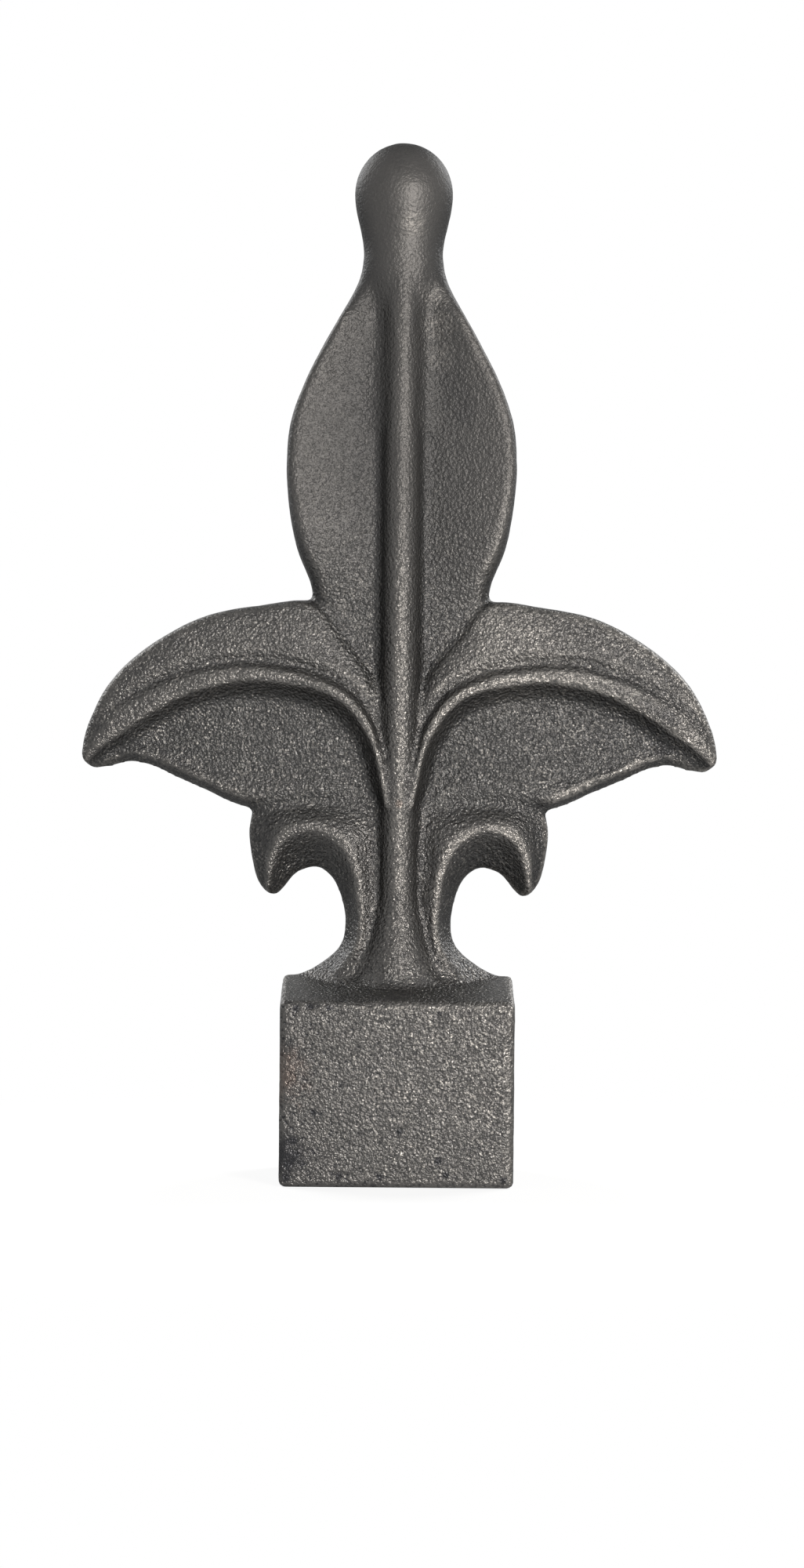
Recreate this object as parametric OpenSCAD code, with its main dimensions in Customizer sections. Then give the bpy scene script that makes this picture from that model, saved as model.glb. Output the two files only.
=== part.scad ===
// Cast iron fence finial: a pointed centre leaf with a ball, two drooping side
// leaves and two scrolls, on a square block that caps a fence picket.
// The casting was made in a two-part mould that parts on the plane y = 0, so the
// front and the back are alike. Z is up, the front faces -Y, and the origin is
// the middle of the block's foot.

/* [Overall] */
// Height from the block's foot to the top of the ball
overall_h = 147.7; // [136:1:156]
// Width across the tips of the side leaves
spread = 90.7; // [82:1:100]

/* [Picket block] */
// Side of the square picket that the block caps
picket_w = 25.4; // [24:0.1:27]
// Play of the picket in its socket, across both sides
picket_play = 0.75; // [0.4:0.05:1.5]
// Wall of the block round the socket
wall = 3.3; // [2.6:0.1:4]
// Depth of the socket from the block's foot
socket_depth = 20; // [14:0.5:21]
// Height of the block's front face
block_h = 25.8; // [23.5:0.1:28]
// Rise of the sloping shoulder from the front face to the mould's parting plane
shoulder_rise = 3.1; // [2:0.1:4]
// Radius of the block's upright edges
block_edge_r = 0.9; // [0.4:0.1:2]
// Chamfer along the top edges of the front and back faces
top_chamfer = 0.5; // [0.3:0.1:1.2]
// Chamfer round the block's foot and at both ends of the shoulder's ridge
end_chamfer = 0.4; // [0.2:0.1:1]

/* [Ball and neck] */
// Diameter of the ball
ball_d = 14; // [12.5:0.1:16]
// Height of the ball's top above its widest point
ball_crown = 7.3; // [6.5:0.1:8.5]
// Drop from the ball's widest point to the middle of the neck
neck_drop = 9; // [8:0.1:11]
// Diameter of the neck
neck_d = 11.3; // [10:0.1:12.2]
// Length over which the round neck dies into the centre leaf
neck_fade = 19; // [14:0.5:24]

/* [Stem and its crest] */
// Width of the stem, which runs on as the centre leaf's midrib
stem_w = 6; // [5:0.1:7]
// Height of the stem's crest above the parting plane
stem_h = 6.5; // [5.5:0.1:7.5]
// Height of the crest where it runs into the neck
neck_crest_h = 5.5; // [5:0.1:6]
// Width of the stem's flared foot on the block
foot_w = 18; // [13:0.5:22]
// Height of the foot's crest above the parting plane
foot_h = 8.6; // [7.5:0.1:10]
// Height of the flare above the block
foot_flare = 11; // [7:0.5:14]

/* [Centre leaf] */
// Width of the centre leaf at its widest
leaf_w = 33; // [29:0.5:38]
// Width of the centre leaf at the notches
notch_w = 25; // [22:0.5:27]
// Height of the leaf's rim above the parting plane
leaf_rim_h = 4.4; // [3.8:0.1:5.2]
// Height of the hollow beside the midrib
leaf_hollow_h = 2.7; // [2:0.1:3.4]
// Width of the sloping wall outside the rim
leaf_wall_w = 0.9; // [0.6:0.1:1.6]
// Width of that wall at the notches
leaf_low_wall_w = 2.2; // [1:0.1:3]
// How far the centre leaf runs down below the notches, under the side leaves
leaf_root_drop = 14.9; // [13:0.5:16]

/* [Side leaves] */
// Height from the side leaves' tips to the notches
side_rise = 24; // [21:0.5:27]
// Height of the side rib at the stem
side_rib_root_h = 6.2; // [5.5:0.1:6.5]
// Height of the side rib at the tip
side_rib_tip_h = 3.2; // [2.6:0.1:4]
// Width of the flat band above the side rib's crest, at the stem
crest_band_w = 0.5; // [0.3:0.1:1]
// Width of the flat band above the side rib's crest, at the tip
tip_band_w = 3.4; // [2:0.1:4]
// Width of the side rib's upper flank
side_rib_up_w = 1.4; // [1:0.1:2]
// Width of the side rib's steep lower flank
side_rib_down_w = 3.2; // [2.6:0.1:3.8]
// Height of the upper lobe beside the rib
upper_lobe_h = 4.4; // [3.8:0.1:4.8]
// Height of the crease between the upper lobe and the rib
upper_crease_h = 3.8; // [3.2:0.1:4.3]
// Height of the upper lobe at its rim
upper_rim_h = 3.5; // [3:0.1:4]
// Height of the upper lobe at the tip
upper_tip_h = 2.7; // [2.2:0.1:3]
// Height of the lower lobe beside the rib
lower_lobe_h = 2.4; // [2:0.1:3]
// Height of the lower lobe at its rim
lower_rim_h = 3.2; // [2.6:0.1:3.6]
// Height of the lower lobe at the tip
lower_tip_h = 1.1; // [0.8:0.1:2]
// Width of the wall outside the upper rim
upper_wall_w = 0.9; // [0.5:0.1:1.4]
// Width of the wall outside the lower rim
lower_wall_w = 1.5; // [1:0.1:2.4]

/* [Scrolls] */
// Width across both scrolls
scroll_w = 42.8; // [38:0.5:46]
// Height of the scrolls, from the block to the trough under the side leaves
scroll_h = 25.5; // [23:0.5:28]
// Height from that trough up to the side leaves' tips
trough_drop = 3.7; // [3:0.1:5]
// Height of the scroll's ridge above the parting plane
scroll_ridge_h = 4.9; // [4.3:0.1:5.6]
// Height of the scroll's outer rim beside the stem
scroll_root_rim_h = 4; // [3:0.1:4.4]
// Height of the scroll's outer rim and of the trough
scroll_rim_h = 1.8; // [1.4:0.1:2.6]
// Height of the scroll's inner edge, round its opening
scroll_lip_h = 0.9; // [0.5:0.1:1.6]
// Width of the wall outside the scroll's outer rim
scroll_wall_w = 0.8; // [0.4:0.1:1.2]
// Width of the wall inside the scroll's inner edge
scroll_lip_w = 0.3; // [0.2:0.1:0.8]
// Height of the scroll's tip
scroll_tip_h = 2.6; // [2.2:0.1:3.2]

/* [Hidden] */

iron = [0.36, 0.35, 0.34];

block_w = picket_w + picket_play + 2 * wall;
socket_w = picket_w + picket_play;
ridge_z = block_h + shoulder_rise;
tip_z = ridge_z + scroll_h + trough_drop;
notch_z = tip_z + side_rise;
root_z = notch_z - leaf_root_drop;
ball_z = overall_h - ball_crown;
neck_z = ball_z - neck_drop;

// How far the stem's foot and the scrolls' feet are sunk into the block
foot_sink = 2;
// How far the cut of the socket runs past the block's foot
cut_margin = 1;
// How far the stem runs on inside the neck
neck_lap = 1.5;
// Share of the leaf's length, from the notches to the neck, at its widest point
widest_share = 0.39;
// Powers that bend a change along a form: the foot's narrowing, the spacing of the
// stem's sections, the crest's rise to the neck, the side crest's fall, the band's
// growth, the lobes' fall to the tip, and the scroll ridge's fall to its tip
foot_bend = 0.45;
stem_bend = 1.3;
neck_bend = 2;
crest_bend = 1.4;
band_bend = 2;
lobe_bend = 3;
scroll_bend = 4;
// Most of the way from an edge to the crest that a wall, the band or a flank of the
// rib takes where a form is narrow
upper_wall_share = 0.3;
band_share = 0.35;
upper_rib_share = 0.3;
lower_wall_share = 0.35;
lower_rib_share = 0.55;
scroll_wall_share = 0.3;
scroll_lip_share = 0.2;
// Share of the scroll's length that keeps its root's rim, and over which that rim falls
scroll_root_share = 0.3;
// Least widths and heights that keep a form open where two edges run together
least_field_w = 0.2;
least_rise = 0.2;
// Steps along each form
leaf_steps = 24;
side_steps = 25;
scroll_steps = 28;
stem_steps = 28;
neck_steps = 8;
arc_step = 18;
turned_sides = 32;

// Shapes of a section's parts, each as [share of the width, share of the rise]: a
// wall from its foot to the rim, a field from the rim to the groove, a rib's upper
// flank from the groove to the crest, its lower flank from the crest to the groove
WALL = [[0, 0], [0.15, 0.55], [0.5, 0.88], [1, 1]];
LEAF_FIELD = [[0.3, 0.66], [0.65, 0.25], [1, 0]];
RIB_UPPER = [[1, 0], [0.6, 0.3], [0.2, 0.8]];
RIB_LOWER = [[0.14, 0.93], [0.4, 0.5], [0.7, 0.14], [1, 0]];
LOW_WALL = [[1, 1], [0.45, 0.62], [0, 0]];
SCROLL_WALL = [[0, 0], [0.3, 0.75], [1, 1]];
SCROLL_OUTER = [[0.35, 0.25], [0.65, 0.68], [0.86, 0.94], [1, 1]];
SCROLL_INNER = [[0.15, 0.1], [0.55, 0.55], [1, 1]];
// A side leaf's upper lobe from its rim to the rib, and its lower lobe from the rib
UPPER_LOBE = [[0.4, 0.6], [0.8, 1]];
LOWER_LOBE = [[0.5, 0.1], [0.86, 0.35]];

// Half widths of the centre leaf as [share of the height, share of the gain in
// half width], from the notches up to the widest point and on up to the neck
LEAF_LOWER = [[0, 0], [0.15, 0.12], [0.38, 0.57], [0.61, 0.82], [0.85, 0.96], [1, 1]];
LEAF_UPPER = [[0, 1], [0.2, 0.955], [0.4, 0.77], [0.6, 0.49], [0.8, 0.18], [0.9, 0.055], [1, 0]];

// Stations along a side leaf from the stem to the tip: upper edge, rib crest and
// lower edge, each in per cent of half the spread and of the side leaf's rise
SIDE_STATIONS = [
    [[0.7, -2], [4, -22], [8, -26]],
    [[1.8, 23], [6.2, 4], [16.5, -19]],
    [[4.8, 44], [10, 24], [24, -18]],
    [[10, 61.5], [17, 40.5], [32, -19]],
    [[18.5, 80.5], [26, 49], [39, -21]],
    [[27.5, 100], [36.5, 53], [46, -23]],
    [[45, 97.5], [47.5, 54], [53, -19.5]],
    [[61, 91.5], [58, 51], [61, -12.5]],
    [[74.5, 79], [69, 44], [69, -6]],
    [[85.5, 63.5], [79.5, 33], [77, 1]],
    [[93, 46.5], [88.5, 21.5], [84, 4]],
    [[98.5, 24], [94.5, 12], [90.5, 1.5]],
    [[100, 8], [98.7, 3.3], [96, 0]],
];

// Stations along a scroll from its foot to its tip: outer edge, ridge and inner
// edge, each in per cent of half the scrolls' width and of their height
SCROLL_STATIONS = [
    [[19, -7], [40, -5], [75, -2.5]],
    [[17, 3], [34, 4], [57, 3.5]],
    [[14, 15], [27.5, 15.5], [40, 15]],
    [[13, 28.5], [25, 28.5], [35.5, 28]],
    [[13, 43], [26, 43], [38, 43]],
    [[13, 64], [28.5, 57.5], [43.5, 53.5]],
    [[9, 96], [36.5, 72], [50.5, 59]],
    [[37, 104], [50, 80.5], [56, 60.5]],
    [[66.5, 105], [62.5, 82], [61.5, 59.5]],
    [[91.5, 100.5], [74.5, 78.5], [67.5, 57.5]],
    [[99.5, 83.5], [82, 70], [72.5, 53]],
    [[98.5, 68], [85.5, 59], [76.5, 48.5]],
    [[94.5, 54], [86.5, 50], [80, 45.5]],
    [[89, 47], [85.5, 45], [82.5, 44.5]],
];

function mix(a, b, t) = a + (b - a) * t;
function ease(t) = (1 - cos(180 * min(max(t, 0), 1))) / 2;

// Point at t, from 0 to 1, on the smooth curve through a list of points
function along(p, t) =
    let (n = len(p) - 1, s = min(max(t, 0), 1) * n, i = min(floor(s), n - 1), u = s - i)
    let (a = p[max(i - 1, 0)], b = p[i], c = p[i + 1], d = p[min(i + 2, n)])
    0.5 * (2 * b + (c - a) * u + (2 * a - 5 * b + 4 * c - d) * u * u
        + (3 * b - a - 3 * c + d) * u * u * u);

// Value at x on straight runs between [x, value] pairs
function between(p, x, i = 0) =
    i >= len(p) - 2 || x <= p[i + 1][0]
        ? mix(p[i][1], p[i + 1][1], (x - p[i][0]) / (p[i + 1][0] - p[i][0]))
        : between(p, x, i + 1);

// Point that lies a length l from point a on the way to point b
function toward(a, b, l) = a + (b - a) * (l / norm(b - a));

// A flat form with a relief on both faces. Each section is a list of [x, z, height]
// from one edge, where the height is 0, to the other; sections follow each other so
// that the first edge lies to the left of the way ahead
module relief(sections) {
    k = len(sections[0]);
    m = 2 * k - 2;
    n = len(sections);
    points = [for (s = sections) each concat(
        [for (p = s) [p[0], -p[2], p[1]]],
        [for (j = [k - 2:-1:1]) [s[j][0], s[j][2], s[j][1]]])];
    sides = [for (r = [0:n - 2], j = [0:m - 1])
        let (a = r * m + j, b = r * m + (j + 1) % m)
        each [[a, a + m, b + m], [a, b + m, b]]];
    start = [for (j = [0:k - 2])
        let (a = j, b = j + 1, c = (m - j - 1) % m, d = (m - j) % m)
        each [if (b != c) [a, b, c], if (a != d) [a, c, d]]];
    end = [for (f = start) [for (i = [2:-1:0]) f[i] + (n - 1) * m]];
    polyhedron(points, concat(sides, start, end), convexity = 8);
}

// Section of the stem at height z: a rounded crest on upright sides
function stem_section(z, half_w, crest_h, side_h) = concat(
    [[-half_w, z, 0]],
    [for (a = [180:-arc_step:0]) [half_w * cos(a), z, mix(side_h, crest_h, sin(a))]],
    [[half_w, z, 0]]);

// Share of the way up the flared foot at height z
function foot_share(z) =
    min(max((z - ridge_z + foot_sink) / (foot_flare + foot_sink), 0), 1);

function stem_half_w(z) =
    min(mix(foot_w / 2, stem_w / 2, pow(foot_share(z), foot_bend)),
        neck_d / 2 + foot_w * ease((neck_z - z) / neck_fade));

function stem_crest_h(z) =
    let (flare_z = ridge_z + foot_flare)
    z < flare_z
        ? mix(foot_h, stem_h, ease(foot_share(z)))
        : mix(stem_h, neck_crest_h, pow((z - flare_z) / (neck_z - flare_z), neck_bend));

// The stem, which runs on as the midrib of the centre leaf
module stem() {
    relief([for (i = [0:stem_steps])
        let (z = mix(ridge_z - foot_sink, neck_z + neck_lap, pow(i / stem_steps, stem_bend)))
        stem_section(z, stem_half_w(z), stem_crest_h(z), leaf_hollow_h / 2)]);
}

// A form turned about the upright axis, from [radius, z] pairs between the heights
// where it closes at the top and at the bottom
module turned(top_z, profile, bottom_z) {
    k = turned_sides;
    n = len(profile);
    rings = [for (p = profile, j = [0:k - 1])
        [p[0] * cos(360 * j / k), p[0] * sin(360 * j / k), p[1]]];
    sides = [for (r = [0:n - 2], j = [0:k - 1])
        let (a = r * k + j, b = r * k + (j + 1) % k)
        each [[a, b, b + k], [a, b + k, a + k]]];
    caps = [for (j = [0:k - 1])
        let (next = (j + 1) % k, low = (n - 1) * k)
        each [[n * k, next, j], [n * k + 1, low + j, low + next]]];
    polyhedron(concat(rings, [[0, 0, top_z], [0, 0, bottom_z]]), concat(sides, caps),
        convexity = 4);
}

// The ball and the neck under it
module ball_and_neck() {
    crown = [for (a = [90 - arc_step / 2:-arc_step / 2:1])
        [ball_d / 2 * cos(a), ball_z + ball_crown * sin(a)]];
    waist = [for (i = [0:neck_steps])
        [mix(ball_d / 2, neck_d / 2, ease(i / (neck_steps + 1))),
            mix(ball_z, neck_z, i / (neck_steps + 1))]];
    fade = [for (i = [0:neck_steps])
        [mix(neck_d / 2, stem_w / 3, ease(i / neck_steps)),
            neck_z - neck_fade * i / neck_steps]];
    turned(overall_h, concat(crown, waist, fade), neck_z - neck_fade - cut_margin);
}

// Value at share x of a table that a smooth curve runs through
function curve_at(table, x) =
    let (n = len(table) - 1, shares = [for (i = [0:n]) [table[i][0], i / n]])
    along(table, between(shares, x))[1];

function leaf_half_w(z) =
    let (widest_z = mix(notch_z, neck_z, widest_share))
    z < notch_z
        ? mix(stem_w / 2, notch_w / 2, sqrt((z - root_z) / (notch_z - root_z)))
        : z < widest_z
            ? mix(notch_w / 2, leaf_w / 2, curve_at(LEAF_LOWER, (z - notch_z) / (widest_z - notch_z)))
            : mix(neck_d / 2, leaf_w / 2, curve_at(LEAF_UPPER, (z - widest_z) / (neck_z - widest_z)));

// Height of the centre leaf's rim, which sinks at the root and dies into the neck
function leaf_rim_at(z) =
    let (rise = ease((z - notch_z + leaf_root_drop / 5) / leaf_root_drop))
    let (fall = ease((z - neck_z + neck_fade / 2) / (neck_fade / 2)))
    mix(leaf_hollow_h, leaf_rim_h, rise) * (1 - fall / 2);

// One half of a section of the centre leaf, from its edge to the middle
function leaf_half_section(z) =
    let (w = leaf_half_w(z), rim = leaf_rim_at(z))
    let (wall_w = mix(leaf_low_wall_w, leaf_wall_w, ease((z - notch_z) / neck_fade)))
    let (field_w = max(w - wall_w - stem_w / 2, least_field_w))
    concat(
        [for (p = WALL) [w - p[0] * wall_w, z, p[1] * rim]],
        [for (p = LEAF_FIELD)
            [w - wall_w - p[0] * field_w, z, mix(leaf_hollow_h, rim, p[1])]]);

// The centre leaf's two dished fields between its rims and the midrib
module centre_leaf() {
    relief([for (i = [0:leaf_steps])
        let (z = mix(root_z, neck_z, i / leaf_steps), half = leaf_half_section(z))
        concat([for (p = half) [-p[0], p[1], p[2]]],
            [for (j = [len(half) - 1:-1:0]) half[j]])]);
}

// A place given in per cent of a frame, in millimetres
function place(p, size, base) = [p[0] / 100 * size[0], base + p[1] / 100 * size[1]];

function station(stations, t, j, size, base) =
    place(along([for (s = stations) s[j]], t), size, base);

// Section of a side leaf at t, from 0 at the stem to 1 at the tip
function side_section(t) =
    let (size = [spread / 2, side_rise])
    let (u = station(SIDE_STATIONS, t, 0, size, tip_z))
    let (c = station(SIDE_STATIONS, t, 1, size, tip_z))
    let (l = station(SIDE_STATIONS, t, 2, size, tip_z))
    let (tip = pow(t, lobe_bend), up_l = norm(u - c), down_l = norm(l - c))
    let (crest = mix(side_rib_root_h, side_rib_tip_h, pow(t, crest_bend)))
    let (lobe = min(mix(upper_lobe_h, upper_tip_h, tip), crest - least_rise))
    let (crease = min(mix(upper_crease_h, upper_tip_h, tip), lobe))
    let (rim = min(mix(upper_rim_h, upper_tip_h, tip), lobe))
    let (low = min(mix(lower_lobe_h, lower_tip_h, tip), crest - 2 * least_rise))
    let (low_rim = mix(lower_rim_h, lower_tip_h, tip))
    let (wall_u = min(upper_wall_w, upper_wall_share * up_l))
    let (wall_l = min(lower_wall_w, lower_wall_share * down_l))
    let (band = min(mix(crest_band_w, tip_band_w, pow(t, band_bend)), band_share * up_l))
    let (rib_u = min(side_rib_up_w, upper_rib_share * up_l))
    let (rib_l = min(side_rib_down_w, lower_rib_share * down_l))
    let (groove_u = toward(c, u, band + rib_u), groove_l = toward(c, l, rib_l))
    let (rim_u = toward(u, c, wall_u), rim_l = toward(l, c, wall_l))
    concat(
        [for (p = WALL) concat(toward(u, c, p[0] * wall_u), p[1] * rim)],
        [for (p = UPPER_LOBE) concat(mix(rim_u, groove_u, p[0]), mix(rim, lobe, p[1]))],
        [for (p = RIB_UPPER)
            concat(toward(c, u, band + p[0] * rib_u), mix(crease, crest, p[1]))],
        [concat(c, crest)],
        [for (p = RIB_LOWER) concat(toward(c, l, p[0] * rib_l), mix(low, crest, p[1]))],
        [for (p = LOWER_LOBE) concat(mix(groove_l, rim_l, p[0]), mix(low, low_rim, p[1]))],
        [for (p = LOW_WALL) concat(toward(l, c, p[0] * wall_l), p[1] * low_rim)]);

// The right side leaf: a curved rib between a high upper lobe and a low lower lobe
module side_leaf() {
    relief([for (i = [0:side_steps]) side_section(i / side_steps)]);
}

// Section of a scroll at t, from 0 at its foot to 1 at its tip
function scroll_section(t) =
    let (size = [scroll_w / 2, scroll_h])
    let (o = station(SCROLL_STATIONS, t, 0, size, ridge_z))
    let (r = station(SCROLL_STATIONS, t, 1, size, ridge_z))
    let (i = station(SCROLL_STATIONS, t, 2, size, ridge_z))
    let (out_l = norm(o - r), in_l = norm(i - r))
    let (ridge = mix(scroll_ridge_h, scroll_tip_h, pow(t, scroll_bend)))
    let (rim_fall = ease((t - scroll_root_share) / scroll_root_share))
    let (rim = min(mix(scroll_root_rim_h, scroll_rim_h, rim_fall), ridge - 2 * least_rise))
    let (rim_at = toward(o, r, min(scroll_wall_w, scroll_wall_share * out_l)))
    let (lip_at = toward(i, r, min(scroll_lip_w, scroll_lip_share * in_l)))
    concat(
        [for (p = SCROLL_WALL) concat(mix(o, rim_at, p[0]), p[1] * rim)],
        [for (p = SCROLL_OUTER) concat(mix(rim_at, r, p[0]), mix(rim, ridge, p[1]))],
        [for (p = SCROLL_INNER) concat(mix(r, lip_at, p[0]), mix(ridge, scroll_lip_h, p[1]))],
        [concat(i, 0)]);

// The right scroll: it climbs beside the stem, turns out and hooks down
module scroll() {
    relief([for (i = [0:scroll_steps]) scroll_section(i / scroll_steps)]);
}

// A square with rounded corners, as points
function rounded_square(w, r) =
    [for (q = [0:3], a = [0:30:90])
        let (corner = [[1, 1], [-1, 1], [-1, -1], [1, -1]][q] * (w / 2 - r))
        corner + r * [cos(90 * q + a), sin(90 * q + a)]];

// The mirror image of half an outline, in reverse order
function mirrored(half) = [for (j = [len(half) - 1:-1:0]) [-half[j][0], half[j][1]]];

// The square block with its sloping shoulder and the blind socket for the picket
module picket_block() {
    slope = shoulder_rise / (block_w / 2);
    half_end = [
        [block_w / 2 - end_chamfer, 0],
        [block_w / 2, end_chamfer],
        [block_w / 2, block_h - top_chamfer],
        [block_w / 2 - top_chamfer, block_h + slope * top_chamfer],
    ];
    half_front = [
        [block_w / 2 - end_chamfer, 0],
        [block_w / 2, end_chamfer],
        [block_w / 2, ridge_z - end_chamfer],
        [block_w / 2 - end_chamfer, ridge_z],
    ];
    difference() {
        intersection() {
            linear_extrude(ridge_z + cut_margin)
                polygon(rounded_square(block_w, block_edge_r));
            rotate([90, 0, 90])
                linear_extrude(block_w + cut_margin, center = true)
                    polygon(concat(half_end, [[0, ridge_z]], mirrored(half_end)));
            rotate([90, 0, 0])
                linear_extrude(block_w + cut_margin, center = true)
                    polygon(concat(half_front, mirrored(half_front)));
        }
        translate([-socket_w / 2, -socket_w / 2, -cut_margin])
            cube([socket_w, socket_w, socket_depth + cut_margin]);
    }
}

// The leaves, stem, scrolls and ball above the block
module ornament() {
    stem();
    ball_and_neck();
    centre_leaf();
    for (side = [0, 1])
        mirror([side, 0, 0]) {
            side_leaf();
            scroll();
        }
}

// The whole casting, which stands exactly the overall height
module finial() {
    color(iron)
        resize([0, 0, overall_h]) {
            picket_block();
            ornament();
        }
}

finial();
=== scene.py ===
"""Cast iron fence finial: the visible casting, a studio stage and the camera.

Everything is built in metres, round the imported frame.
"""
import math

import bpy
import numpy as np
from bpy.props import FloatProperty, FloatVectorProperty, IntProperty, PointerProperty
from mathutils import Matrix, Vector


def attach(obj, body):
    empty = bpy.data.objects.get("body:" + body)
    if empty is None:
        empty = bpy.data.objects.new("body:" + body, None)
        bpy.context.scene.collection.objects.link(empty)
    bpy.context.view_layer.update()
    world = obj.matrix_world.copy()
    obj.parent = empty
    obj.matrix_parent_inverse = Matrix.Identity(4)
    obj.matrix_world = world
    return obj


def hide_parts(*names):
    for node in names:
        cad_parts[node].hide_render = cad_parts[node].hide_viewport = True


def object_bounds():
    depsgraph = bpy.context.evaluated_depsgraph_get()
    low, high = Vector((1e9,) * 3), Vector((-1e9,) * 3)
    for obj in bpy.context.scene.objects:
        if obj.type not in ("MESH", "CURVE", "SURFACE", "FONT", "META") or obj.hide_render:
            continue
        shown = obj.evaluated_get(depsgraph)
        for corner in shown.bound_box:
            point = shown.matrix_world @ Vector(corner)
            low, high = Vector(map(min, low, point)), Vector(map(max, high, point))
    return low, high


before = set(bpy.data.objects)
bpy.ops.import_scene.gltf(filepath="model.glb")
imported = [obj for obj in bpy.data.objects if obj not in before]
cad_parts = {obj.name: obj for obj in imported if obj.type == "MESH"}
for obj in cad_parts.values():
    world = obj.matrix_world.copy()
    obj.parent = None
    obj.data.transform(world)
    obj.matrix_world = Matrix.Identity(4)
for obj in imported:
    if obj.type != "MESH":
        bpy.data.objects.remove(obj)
CAD_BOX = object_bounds()

bl_info = {
    "name": "Cast Iron Fence Finial",
    "version": (1, 0, 0),
    "blender": (4, 5, 0),
    "location": "View3D > Sidebar > Finial",
    "description": "Builds a sand-cast iron finial with leaves, scrolls and a socket block",
    "category": "Add Mesh",
}

MM = 0.001
CAD_LOW, CAD_HIGH = CAD_BOX

# Stations along a side leaf from the stem to the tip: upper edge, rib crest and
# lower edge, each in per cent of half the spread and of the side leaf's rise
SIDE_STATIONS = [
    [[0.7, -2], [4, -22], [8, -26]],
    [[1.8, 23], [6.2, 4], [16.5, -19]],
    [[4.8, 44], [10, 24], [24, -18]],
    [[10, 61.5], [17, 40.5], [32, -19]],
    [[18.5, 80.5], [26, 49], [39, -21]],
    [[27.5, 100], [36.5, 53], [46, -23]],
    [[45, 97.5], [47.5, 54], [53, -19.5]],
    [[61, 91.5], [58, 51], [61, -12.5]],
    [[74.5, 79], [69, 44], [69, -6]],
    [[85.5, 63.5], [79.5, 33], [77, 1]],
    [[93, 46.5], [88.5, 21.5], [84, 4]],
    [[98.5, 24], [94.5, 12], [90.5, 1.5]],
    [[100, 8], [98.7, 3.3], [96, 0]],
]

# Stations along a scroll from its foot to its tip: outer edge, ridge and inner
# edge, each in per cent of half the scrolls' width and of their height
SCROLL_STATIONS = [
    [[19, -7], [40, -5], [75, -2.5]],
    [[17, 3], [34, 4], [57, 3.5]],
    [[14, 15], [27.5, 15.5], [40, 15]],
    [[13, 28.5], [25, 28.5], [35.5, 28]],
    [[13, 43], [26, 43], [38, 43]],
    [[13, 64], [28.5, 57.5], [43.5, 53.5]],
    [[9, 96], [36.5, 72], [50.5, 59]],
    [[37, 104], [50, 80.5], [56, 60.5]],
    [[66.5, 105], [62.5, 82], [61.5, 59.5]],
    [[91.5, 100.5], [74.5, 78.5], [67.5, 57.5]],
    [[99.5, 83.5], [82, 70], [72.5, 53]],
    [[98.5, 68], [85.5, 59], [76.5, 48.5]],
    [[94.5, 54], [86.5, 50], [80, 45.5]],
    [[89, 47], [85.5, 45], [82.5, 44.5]],
]

# Half widths of the centre leaf as [share of the height, share of the gain in
# half width], from the notches up to the widest point and on up to the neck
LEAF_LOWER = [[0, 0], [0.15, 0.12], [0.38, 0.57], [0.61, 0.82], [0.85, 0.96], [1, 1]]
LEAF_UPPER = [[0, 1], [0.2, 0.955], [0.4, 0.77], [0.6, 0.49], [0.8, 0.18], [0.9, 0.055], [1, 0]]

# Shapes of a section's parts, each as [share of the width, share of the rise]: a
# wall from its foot to the rim, a field from the rim to the groove, a rib's upper
# flank from the groove to the crest, its lower flank from the crest to the groove,
# a lower wall from the rim to its foot, the upper lobe from its rim to the rib, the
# lower lobe from the rib to its rim, and a scroll's wall, its slope from the rim up
# to the ridge and its slope from the ridge down to the inner edge
WALL = [[0, 0], [0.15, 0.55], [0.5, 0.88], [1, 1]]
LEAF_FIELD = [[0.3, 0.66], [0.65, 0.25], [1, 0]]
RIB_UPPER = [[1, 0], [0.6, 0.3], [0.2, 0.8], [-0.1, 0.97]]
RIB_LOWER = [[0.14, 0.93], [0.4, 0.5], [0.7, 0.14], [1, 0]]
LOW_WALL = [[1, 1], [0.45, 0.62], [0, 0]]
UPPER_LOBE = [[0.4, 0.6], [0.8, 1]]
LOWER_LOBE = [[0.5, 0.1], [0.86, 0.35]]
SCROLL_WALL = [[0, 0], [0.3, 0.75], [1, 1]]
SCROLL_OUTER = [[0.35, 0.25], [0.65, 0.68], [0.86, 0.94], [1, 1]]
SCROLL_INNER = [[0.15, 0.1], [0.55, 0.55], [1, 1]]

# Share of the leaf's length, from the notches to the neck, at its widest point
WIDEST_SHARE = 0.39
# Share of the leaf's root, below the notches, over which its rim starts to rise
ROOT_RIM_SHARE = 0.2
# Powers that bend a change along a form: the foot's narrowing, the crest's rise to
# the neck, the side crest's fall, the band's growth, the lobes' fall to the tip, and
# the scroll ridge's fall to its tip
FOOT_BEND = 0.45
NECK_BEND = 2
CREST_BEND = 1.4
BAND_BEND = 2
LOBE_BEND = 3
SCROLL_BEND = 4
# Most of the way from an edge to the crest or ridge that a wall, the band or a flank
# of the rib takes where a form is narrow
UPPER_WALL_SHARE = 0.3
BAND_SHARE = 0.35
UPPER_RIB_SHARE = 0.3
LOWER_WALL_SHARE = 0.35
LOWER_RIB_SHARE = 0.55
SCROLL_WALL_SHARE = 0.3
SCROLL_LIP_SHARE = 0.2
# Share of the scroll's length that keeps its root's rim, and over which that rim falls
SCROLL_ROOT_SHARE = 0.3
# How far the stem runs on inside the neck
NECK_LAP = 1.5 * MM
# Least width and height that keep a form open where two edges run together
LEAST_STEP = 0.2 * MM

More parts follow.
